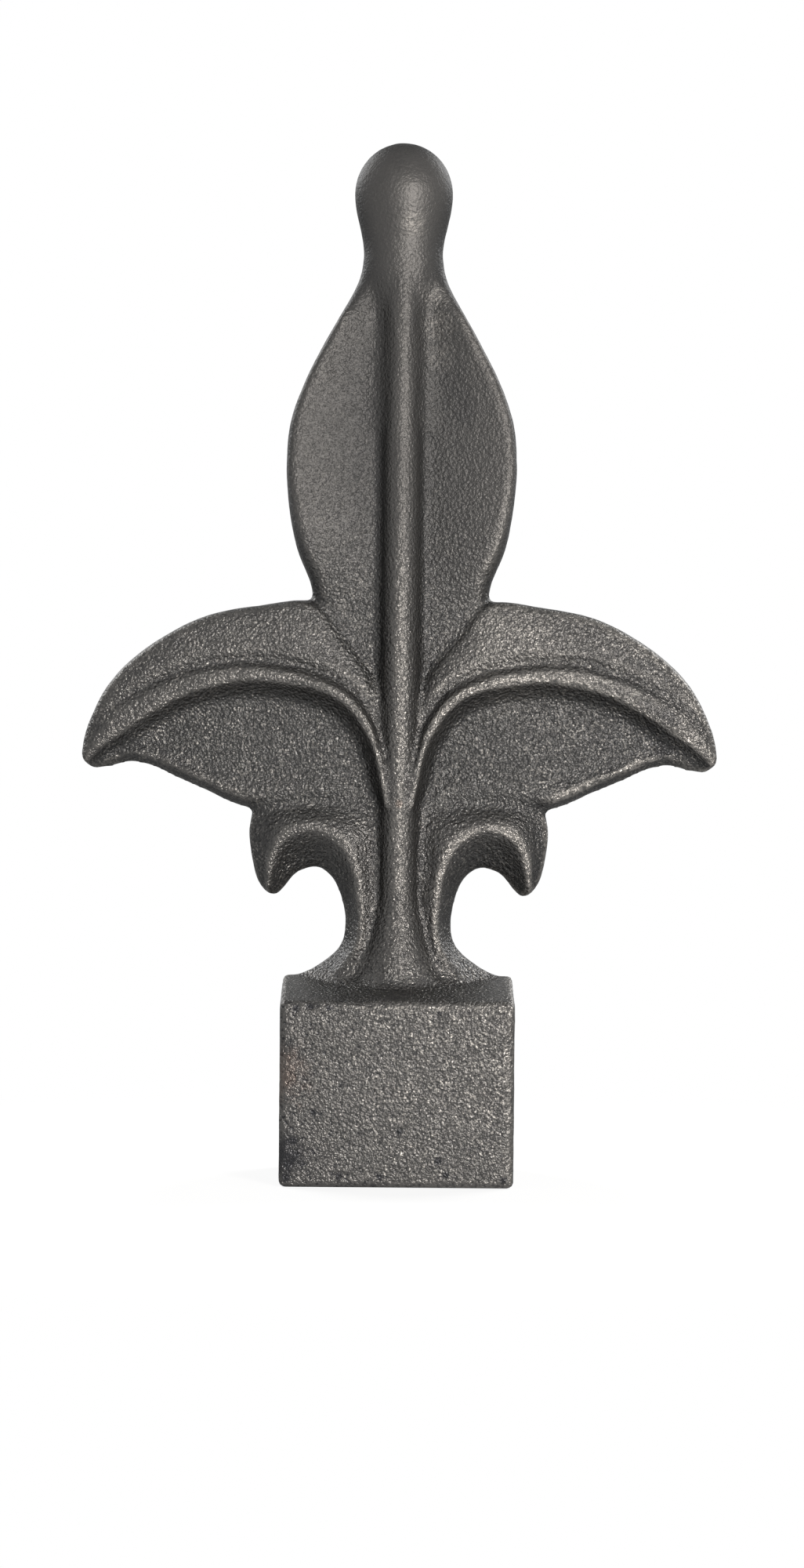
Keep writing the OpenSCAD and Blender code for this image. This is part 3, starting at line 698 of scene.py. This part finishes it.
def picket_block(s):
    """The square block with its sloping shoulder and the blind socket in its foot."""
    w, r, q = s.block_w / 2, s.block_edge_r, s.socket_w / 2
    corners = [(1, -1), (1, 1), (-1, 1), (-1, -1)]
    outline = []
    for n, (sx, sy) in enumerate(corners):
        for a in np.linspace(-math.pi / 2, 0, CORNER_POINTS) + n * math.pi / 2:
            outline.append((sx * (w - r) + r * math.cos(a), sy * (w - r) + r * math.sin(a)))
    slope = s.shoulder_rise / w

    def roof(y, inset):
        return s.block_h + slope * (w - abs(y)) - inset

    k, c = len(outline), CORNER_POINTS
    shrink, tuck = (w - s.top_chamfer) / w, (w - s.end_chamfer) / w
    foot = [(x * tuck, y * tuck, 0) for x, y in outline]
    heel = [(x, y, s.end_chamfer) for x, y in outline]
    eave = [(x, y, roof(y, s.top_chamfer)) for x, y in outline]
    brow = [(x, y * shrink, roof(y * shrink, 0)) for x, y in outline]
    mouth = [(sx * q, sy * q, 0) for sx, sy in corners]
    end = [(sx * q, sy * q, s.socket_depth) for sx, sy in corners]
    points = foot + heel + eave + brow + mouth + end
    faces = []
    for ring in (0, k, 2 * k):
        faces += [(ring + j, ring + (j + 1) % k, ring + k + (j + 1) % k, ring + k + j) for j in range(k)]
    m = 4 * k
    faces += [(m + (j + 1) % 4, m + j, m + 4 + j, m + 4 + (j + 1) % 4) for j in range(4)]
    faces.append(tuple(m + 4 + j for j in reversed(range(4))))
    for n in range(4):
        middle, follow = n * c + c // 2, (n + 1) % 4 * c + c // 2
        side = [(middle + j) % k for j in range((follow - middle) % k + 1)]
        faces.append(tuple(reversed(side)) + (m + n, m + (n + 1) % 4))
    ridge = [len(points), len(points) + 1]
    points += [(-w, 0, s.ridge_z), (w, 0, s.ridge_z)]
    top = sorted(range(3 * k, 4 * k), key=lambda j: math.atan2(points[j][1], points[j][0]))
    front = [j for j in top if points[j][1] < 0]
    back = [j for j in top if points[j][1] > 0]
    faces.append(tuple(front) + (ridge[1], ridge[0]))
    faces.append((ridge[0], ridge[1]) + tuple(back))
    faces += [(front[-1], back[0], ridge[1]), (back[-1], front[0], ridge[0])]
    return np.array(points, float), faces


def joined(name, forms):
    """One mesh object of several closed forms that lap into each other."""
    points, faces, start = [], [], 0
    for form_points, form_faces in forms:
        points.append(form_points)
        faces += [tuple(int(i) + start for i in f) for f in form_faces]
        start += len(form_points)
    mesh = bpy.data.meshes.new(name)
    mesh.from_pydata(np.concatenate(points).tolist(), [], faces)
    mesh.validate()
    return added(name, mesh)


def applied(piece):
    """Turns a piece's modifiers into its plain mesh."""
    graph = bpy.context.evaluated_depsgraph_get()
    graph.update()
    mesh = bpy.data.meshes.new_from_object(piece.evaluated_get(graph))
    piece.modifiers.clear()
    old, piece.data = piece.data, mesh
    mesh.name = piece.name
    bpy.data.meshes.remove(old)


def mesh_points(mesh):
    """The places of a mesh's vertices, as an array."""
    points = np.empty(len(mesh.vertices) * 3)
    mesh.vertices.foreach_get("co", points)
    return points.reshape(-1, 3)


def smooth(piece, name, factor, rounds, group=""):
    """Adds a modifier that evens out a piece's skin, or only what a group of it holds."""
    modifier = piece.modifiers.new(name, "SMOOTH")
    modifier.factor = factor
    modifier.iterations = rounds
    modifier.vertex_group = group


def hollow_weights(points):
    """How far each point is in a soft hollow: 1 up to half its radius, and 0 past its radius."""
    place = np.column_stack([np.abs(points[:, 0]), points[:, 2]])
    weights = np.zeros(len(points))
    for x, z, end_x, end_z, radius in np.asarray(SOFT_HOLLOWS) * MM:
        start, run = np.array([x, z]), np.array([end_x - x, end_z - z])
        share = np.clip((place - start) @ run / (run @ run), 0, 1)
        off = np.linalg.norm(place - start - share[:, None] * run, axis=1) / radius
        weights = np.maximum(weights, 1 - ease((off - 0.5) * 2))
    return weights


def fuse(piece, cell):
    """Fuses the lapping forms to one skin and rounds its creases as a casting's are."""
    remesh = piece.modifiers.new("Skin", "REMESH")
    remesh.mode = "VOXEL"
    remesh.voxel_size = cell
    smooth(piece, "Fillets", *FILLETS)
    applied(piece)
    weights = hollow_weights(mesh_points(piece.data))
    hollows = piece.vertex_groups.new(name="soft_hollows")
    for level in range(1, HOLLOW_LEVELS + 1):
        share = level / HOLLOW_LEVELS
        chosen = np.flatnonzero(np.abs(weights - share) < 0.5 / HOLLOW_LEVELS)
        hollows.add(chosen.tolist(), share, "REPLACE")
    smooth(piece, "Hollows", *HOLLOWS, hollows.name)
    applied(piece)
    piece.vertex_groups.clear()


def dent(piece, pits, face_y):
    """Presses round pits into the piece's face that looks along -Y from face_y."""
    mesh = piece.data
    points = mesh_points(mesh)
    near = points[:, 1] < face_y + PIT_REACH
    for x, z, radius, depth in np.asarray(pits) * MM:
        off = np.hypot(points[:, 0] - x, points[:, 2] - z) / radius
        points[:, 1] += np.where(near & (off < 1), depth * (1 - off ** 2) ** 2, 0)
    mesh.vertices.foreach_set("co", points.ravel())
    mesh.update()


SKIN_INPUTS = ("lump", "lump_h", "nub", "nub_h", "pit_gap", "pit_r", "pit_h", "pit_share", "seed")


def skin_tree():
    """Geometry nodes for a sand casting's skin: broad lumps, coarse grain and small pits.

    They also mark, for the material, where a pit lies and how far an edge stands out.
    """
    tree = bpy.data.node_groups.new("cast_skin", "GeometryNodeTree")
    sockets(tree, "INPUT", "Geometry", "Geometry")
    sockets(tree, "INPUT", "Float", *SKIN_INPUTS)
    sockets(tree, "INPUT", "Material", "Material")
    sockets(tree, "OUTPUT", "Geometry", "Geometry")
    given = tree.nodes.new("NodeGroupInput").outputs
    place = node(tree, "GeometryNodeInputPosition").outputs[0]
    normal = node(tree, "GeometryNodeInputNormal").outputs[0]

    def maths(operation, a, b):
        return maths_in(tree, operation, a, b)

    def vectors(operation, inputs):
        return node(tree, "ShaderNodeVectorMath", inputs, operation=operation).outputs

    def waves(size, height):
        noise = node(tree, "ShaderNodeTexNoise", {
            "Vector": place, "W": given["seed"], "Scale": maths("DIVIDE", 1.0, size), "Detail": 1.0},
            noise_dimensions="4D")
        return maths("MULTIPLY", maths("SUBTRACT", noise.outputs[0], 0.5), height)

    def stored(geometry, name, value):
        return node(tree, "GeometryNodeStoreNamedAttribute", {
            "Geometry": geometry, "Name": name, "Value": value},
            data_type="FLOAT", domain="POINT").outputs[0]

    cells = node(tree, "ShaderNodeTexVoronoi", {
        "Vector": place, "W": given["seed"], "Scale": maths("DIVIDE", 1.0, given["pit_gap"])},
        voronoi_dimensions="4D")
    chance = node(tree, "FunctionNodeSeparateColor", {"Color": cells.outputs["Color"]}).outputs[0]
    pit_edge = maths("DIVIDE", given["pit_r"], given["pit_gap"])
    round_pit = ranged_in(tree, cells.outputs["Distance"], 0.0, pit_edge, 1.0, 0.0)
    pit = maths("MULTIPLY", round_pit, maths("LESS_THAN", chance, given["pit_share"]))
    blurred = node(tree, "GeometryNodeBlurAttribute", {
        "Value": place, "Iterations": RIDGE_ROUNDS}, data_type="FLOAT_VECTOR").outputs[0]
    stand = vectors("SUBTRACT", {0: place, 1: blurred})[0]
    ridge = maths("DIVIDE", vectors("DOT_PRODUCT", {0: stand, 1: normal})["Value"], MM)
    rise = maths("ADD", waves(given["lump"], given["lump_h"]), waves(given["nub"], given["nub_h"]))
    rise = maths("SUBTRACT", rise, maths("MULTIPLY", pit, given["pit_h"]))
    low, high = LUMPS_BEGIN
    clear = node(tree, "ShaderNodeMapRange", {
        "Value": node(tree, "ShaderNodeSeparateXYZ", {"Vector": place}).outputs["Z"],
        "From Min": low, "From Max": high}).outputs[0]
    push = vectors("SCALE", {0: normal, "Scale": maths("MULTIPLY", rise, clear)})[0]
    marked = stored(stored(given["Geometry"], "pit", pit), "ridge", ridge)
    moved = node(tree, "GeometryNodeSetPosition", {"Geometry": marked, "Offset": push})
    whole = node(tree, "GeometryNodeRealizeInstances", {"Geometry": moved.outputs[0]})
    clad = node(tree, "GeometryNodeSetMaterial", {
        "Geometry": whole.outputs[0], "Material": given["Material"]})
    node(tree, "NodeGroupOutput", {0: clad.outputs[0]})
    return tree


def cast_skin(piece, iron, material):
    """Gives the piece a sand casting's skin and its material."""
    modifier = piece.modifiers.new("Cast skin", "NODES")
    modifier.node_group = skin_tree()
    for socket in modifier.node_group.interface.items_tree:
        if socket.in_out == "INPUT" and socket.name in SKIN_INPUTS:
            modifier[socket.identifier] = float(getattr(iron, socket.name))
        if socket.in_out == "INPUT" and socket.name == "Material":
            modifier[socket.identifier] = material
    applied(piece)


def spot_group():
    """Shader group: a spot with a ragged edge, 1 in its middle and fading to 0 about its radius."""
    tree = bpy.data.node_groups.new("ragged_spot", "ShaderNodeTree")
    sockets(tree, "INPUT", "Vector", "Centre")
    sockets(tree, "INPUT", "Float", "Radius", "Ragged")
    sockets(tree, "OUTPUT", "Float", "Mask")
    given = tree.nodes.new("NodeGroupInput").outputs
    place = node(tree, "ShaderNodeTexCoord").outputs["Object"]
    noise = node(tree, "ShaderNodeTexNoise", {"Vector": place, "Scale": 1 / SPOT_GRAIN, "Detail": 3.0})
    away = node(tree, "ShaderNodeVectorMath", {0: place, 1: given["Centre"]}, operation="DISTANCE")
    share = maths_in(tree, "DIVIDE", away.outputs["Value"], given["Radius"])
    rough = node(tree, "ShaderNodeMath", {
        0: noise.outputs[0], 1: given["Ragged"], 2: share}, operation="MULTIPLY_ADD")
    node(tree, "NodeGroupOutput", {0: ranged_in(tree, rough.outputs[0], *SPOT_EDGE, 1.0, 0.0)})
    return tree


class Finish:
    """The nodes that a material's finish is made of, under short names."""

    def __init__(self, tree, seed):
        self.tree = tree
        self.seed = float(seed)
        self.spots = spot_group()
        self.place = node(tree, "ShaderNodeTexCoord").outputs["Object"]
        self.x, self.y, self.z = node(tree, "ShaderNodeSeparateXYZ", {"Vector": self.place}).outputs

    def noise(self, size, detail):
        """Noise over the casting, about 0 to 1, in lumps of a given size."""
        return node(self.tree, "ShaderNodeTexNoise", {
            "Vector": self.place, "Scale": 1 / size, "Detail": detail, "W": self.seed},
            noise_dimensions="4D").outputs[0]

    def ranged(self, value, low, high, start=0.0, end=1.0):
        return ranged_in(self.tree, value, low, high, start, end)

    def maths(self, operation, a, b):
        return maths_in(self.tree, operation, a, b)

    def product(self, first, *others):
        for other in others:
            first = self.maths("MULTIPLY", first, other)
        return first

    def most(self, first, *others):
        for other in others:
            first = self.maths("MAXIMUM", first, other)
        return first

    def tinted(self, share, under, over):
        """The colour under, with a share of the colour over it."""
        return node(self.tree, "ShaderNodeMix", {
            "Factor": share, "A": under, "B": over}, data_type="RGBA").outputs["Result"]

    def spot(self, x, y, z, radius, ragged):
        """A soft spot at a place given in millimetres."""
        return node(self.tree, "ShaderNodeGroup", {
            "Centre": (x * MM, y * MM, z * MM), "Radius": radius * MM, "Ragged": ragged},
            node_tree=self.spots).outputs[0]

    def mark(self, name):
        """A mark that the skin left in the mesh."""
        return node(self.tree, "ShaderNodeAttribute", attribute_name=name).outputs["Fac"]


def rubbed_and_highlight_share(f, iron, grain, coarse):
    """How far the iron is rubbed bright or painted with highlight: single grains, which also stand in as
    painted glints, raised edges and painted highlight patches.
    """
    glint = f.noise(iron.glint, 0)
    # Fewer glints towards the block's left and its foot: painted shade, the light being at the upper right
    block = f.product(f.ranged(f.x, *SHADED_SIDE, SHADED_LEFT_RUB, 1.0), f.ranged(f.z, *SHADED_FOOT, SHADED_FOOT_RUB, 1.0))
    speckle = f.most(
        f.ranged(f.z, *GRAIN_THINS, block, LEAF_RUB),
        f.ranged(f.maths("ABSOLUTE", f.x, 0.0), *TIPS_BEGIN, 0.0, TIP_RUB))
    uneven = f.ranged(f.noise(iron.uneven, 2), *UNEVEN_NOISE, LEAST_RUB, 1.0)
    grains = f.product(f.ranged(glint, *RUBBED_NOISE), speckle, coarse, uneven)
    # Raised edges: worn bright, with a painted highlight that fades to the left, away from the light
    edges = f.product(
        f.ranged(f.mark("ridge"), EDGE_START * iron.edge_step, iron.edge_step),
        f.ranged(grain, *EDGE_NOISE, *EDGE_GRAINS), f.ranged(f.z, *EDGES_BEGIN, BLOCK_EDGE_RUB, 1.0),
        f.ranged(f.x, *EDGE_LIGHT_FADE, SHADED_EDGE_RUB, 1.0), coarse)
    bright = f.ranged(glint, *HIGHLIGHT_NOISE, HIGHLIGHT_LOW, 1.0)
    # Painted highlight patches, brightest on the grains that glint
    patches = [
        f.product(f.spot(x, y, z, radius, HIGHLIGHT_RAGGED), strength, bright)
        for x, y, z, radius, strength in PAINTED_HIGHLIGHTS]
    return f.most(grains, edges, *patches)


def scale_share(f):
    """How much dark scale lies in the skin's pits, the block's pits and its dark patch."""
    pits = [
        f.product(f.spot(x, FACE_Y, z, radius, PIT_RAGGED), BLOCK_PIT_SCALE)
        for x, z, radius, _ in BLOCK_PITS]
    small, patch = f.product(f.mark("pit"), SMALL_PIT_SCALE), f.product(f.spot(*DARK_PATCH), PATCH_SCALE)
    return f.most(small, patch, *pits)


def grain_height(f, iron, grain):
    """Height of the sand grain, which is lower towards the ball."""
    fine = f.noise(iron.grain / FINE_TIMES, 1)
    height = f.maths("ADD", grain, f.product(fine, FINE_SHARE))
    upper = f.ranged(f.z, *iron.smooth_band, 1.0, UPPER_GRAIN)
    return f.product(height, upper, f.ranged(f.z, *BALL_BEGINS, 1.0, BALL_GRAIN))


def iron_material(iron):
    """Bare grey cast iron, grainy from the sand mould, with dark scale, a trace of rust, painted shade and
    painted highlights.
    """
    material = bpy.data.materials.new("cast_iron_skin")
    material.use_nodes = True
    tree = material.node_tree
    f = Finish(tree, iron.seed)
    bare, hollow, worn_and_highlight, dark, rust = (
        (*tone, 1) for tone in (iron.iron, iron.hollow, iron.worn_and_highlight, iron.dark, iron.rust))
    grain = f.noise(iron.grain, 1.5)
    coarse = f.ranged(f.z, *iron.smooth_band, 1.0, UPPER_RUB)
    # Painted shade on the low parts of the relief, near the parting plane, above the block
    raised = f.most(
        f.ranged(f.maths("ABSOLUTE", f.y, 0.0), iron.hollow_shade_y, iron.unshaded_y),
        f.ranged(f.z, *HOLLOW_SHADE_BEGINS, 1.0, 0.0))
    colour = f.tinted(raised, hollow, bare)
    # Creases darkened: painted shade
    colour = f.tinted(f.ranged(f.mark("ridge"), -iron.edge_step, 0, CREASE_SHADE, 0), colour, dark)
    # Worn bright grains and edges, with painted glints and highlights
    colour = f.tinted(rubbed_and_highlight_share(f, iron, grain, coarse), colour, worn_and_highlight)
    # More dark grains towards the block's left: painted shade
    block_shade = f.ranged(f.x, *SHADED_SIDE, 1.0, LIT_RIGHT_SCALE)
    low_grains = f.product(
        f.ranged(grain, *DARK_NOISE, 1.0, 0.0), f.ranged(f.z, *GRAIN_THINS, block_shade, LEAF_SCALE), coarse)
    colour = f.tinted(low_grains, colour, dark)
    blotches = f.ranged(f.noise(iron.blotch, 3), *BLOTCH_NOISE, 0.0, BLOTCH_SCALE)
    colour = f.tinted(blotches, colour, dark)
    colour = f.tinted(scale_share(f), colour, dark)
    rusted = f.product(f.most(*[f.spot(*rust_spot) for rust_spot in RUST_SPOTS]), RUST_SHARE)
    colour = f.tinted(rusted, colour, rust)
    roughness = f.ranged(f.z, *iron.smooth_band, iron.roughness, iron.top_roughness)
    height = grain_height(f, iron, grain)
    bump = node(tree, "ShaderNodeBump", {"Strength": 1.0, "Distance": iron.grain_h, "Height": height})
    shader = tree.nodes["Principled BSDF"]
    tree.links.new(colour, shader.inputs["Base Color"])
    tree.links.new(roughness, shader.inputs["Roughness"])
    tree.links.new(bump.outputs["Normal"], shader.inputs["Normal"])
    shader.inputs["Metallic"].default_value = iron.metallic
    shader.inputs["Specular IOR Level"].default_value = iron.gloss
    shader.inputs["Specular Tint"].default_value = (*iron.gloss_tint, 1)
    return material


class FINIAL_OT_casting(bpy.types.Operator):
    """Build the one-piece iron casting"""

    bl_idname = "finial.casting"
    bl_label = "Casting"

    def execute(self, context):
        s, iron = context.scene.finial_sizes, context.scene.finial_iron
        leaf, hook = side_leaf(s), scroll(s)
        casting = joined("finial_casting", [
            stem(s), ball_and_neck(s), centre_leaf(s),
            leaf, mirrored(leaf), hook, mirrored(hook), picket_block(s)])
        fuse(casting, s.skin_cell)
        dent(casting, BLOCK_PITS, -s.block_w / 2)
        cast_skin(casting, iron, iron_material(iron))
        casting.data.shade_smooth()
        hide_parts("finial")
        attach(casting, "root")
        return {"FINISHED"}


def area_light(name, place, aim, size, power, colour=(1, 1, 1)):
    """Adds a soft round lamp at a place, aimed at a point."""
    lamp = bpy.data.lights.new(name, "AREA")
    lamp.shape = "DISK"
    lamp.size = size
    lamp.energy = power
    lamp.color = colour
    holder = added(name, lamp)
    holder.location = place
    holder.rotation_euler = (Vector(aim) - Vector(place)).to_track_quat("-Z", "Y").to_euler()


def seen_rays(tree):
    """1 for what the camera, a reflection or a view through glass sees, and 0 for the light that falls."""
    path = node(tree, "ShaderNodeLightPath").outputs
    seen = path["Is Camera Ray"]
    for ray in ("Is Transmission Ray", "Is Glossy Ray"):
        seen = maths_in(tree, "MAXIMUM", seen, path[ray])
    return seen


def white_world(strength):
    """A white room that the camera and reflections see as white, and that lights softly."""
    world = bpy.data.worlds.new("studio")
    bpy.context.scene.world = world
    world.use_nodes = True
    tree = world.node_tree
    tree.nodes.clear()
    level = node(tree, "ShaderNodeMapRange", {
        "Value": seen_rays(tree), "To Min": strength, "To Max": 1.0}).outputs[0]
    back = node(tree, "ShaderNodeBackground", {"Color": (1, 1, 1, 1), "Strength": level})
    node(tree, "ShaderNodeOutputWorld", {0: back.outputs[0]})


def floor_material():
    """A pale floor that the camera sees white, apart from a faint shadow round the casting."""
    material = bpy.data.materials.new("pale_floor")
    material.use_nodes = True
    tree = material.node_tree
    tree.nodes.clear()
    place = node(tree, "ShaderNodeTexCoord").outputs["Object"]
    away = node(tree, "ShaderNodeVectorMath", {0: place}, operation="LENGTH").outputs["Value"]
    seen = seen_rays(tree)
    share = maths_in(tree, "MULTIPLY", seen, ranged_in(tree, away, *FLOOR_SHADOW, NEAR_WHITE, 1.0))
    tone = node(tree, "ShaderNodeMix", {
        "Factor": seen, "A": DARK_FLOOR, "B": PALE_FLOOR}, data_type="RGBA")
    matt = node(tree, "ShaderNodeBsdfDiffuse", {"Color": tone.outputs["Result"]})
    white = node(tree, "ShaderNodeEmission", {"Color": (1, 1, 1, 1), "Strength": 1.0})
    blend = node(tree, "ShaderNodeMixShader", {0: share, 1: matt.outputs[0], 2: white.outputs[0]})
    node(tree, "ShaderNodeOutputMaterial", {0: blend.outputs[0]})
    return material


class FINIAL_OT_stage(bpy.types.Operator):
    """Build the floor, the lights and the camera"""

    bl_idname = "finial.stage"
    bl_label = "Stage"

    def execute(self, context):
        stage, scene = context.scene.finial_stage, context.scene
        half = stage.floor_half
        corners = [(-half, -half, 0), (half, -half, 0), (half, half, 0), (-half, half, 0)]
        mesh = bpy.data.meshes.new("floor")
        mesh.from_pydata(corners, [], [(0, 1, 2, 3)])
        mesh.materials.append(floor_material())
        added("floor", mesh)
        aim = (0, 0, stage.aim_z)
        area_light("key_lamp", (stage.key_x, -stage.key_y, stage.key_z), aim,
                   stage.key_size, stage.key_power, stage.key_tint)
        for name, side in (("back_lamp_left", -1), ("back_lamp_right", 1)):
            area_light(name, (side * stage.back_x, stage.back_y, stage.back_z), aim,
                       stage.back_size, stage.back_power)
        white_world(stage.room)
        camera = added("camera", bpy.data.cameras.new("camera"))
        camera.data.lens = stage.lens
        camera.data.sensor_width = FILM_SIDE
        camera.data.clip_start = NEAREST_SEEN
        camera.location = (stage.camera_x, -stage.camera_distance, stage.camera_z)
        camera.rotation_mode = "XYZ"
        camera.rotation_euler = (math.pi / 2, stage.roll, 0)
        scene.camera = camera
        scene.view_settings.view_transform = "Standard"
        return {"FINISHED"}


class FINIAL_PT_panel(bpy.types.Panel):
    """Lists the finial's pieces"""

    bl_label = "Fence Finial"
    bl_space_type = "VIEW_3D"
    bl_region_type = "UI"
    bl_category = "Finial"

    def draw(self, context):
        for piece in (FINIAL_OT_casting, FINIAL_OT_stage):
            self.layout.operator(piece.bl_idname)


CLASSES = (FinialSizes, FinialIron, FinialStage, FINIAL_OT_casting, FINIAL_OT_stage, FINIAL_PT_panel)


def register():
    for cls in CLASSES:
        bpy.utils.register_class(cls)
    bpy.types.Scene.finial_sizes = PointerProperty(type=FinialSizes)
    bpy.types.Scene.finial_iron = PointerProperty(type=FinialIron)
    bpy.types.Scene.finial_stage = PointerProperty(type=FinialStage)


def unregister():
    del bpy.types.Scene.finial_stage
    del bpy.types.Scene.finial_iron
    del bpy.types.Scene.finial_sizes
    for cls in reversed(CLASSES):
        bpy.utils.unregister_class(cls)


def main():
    register()
    bpy.ops.finial.casting()
    bpy.ops.finial.stage()


if __name__ == "__main__":
    main()
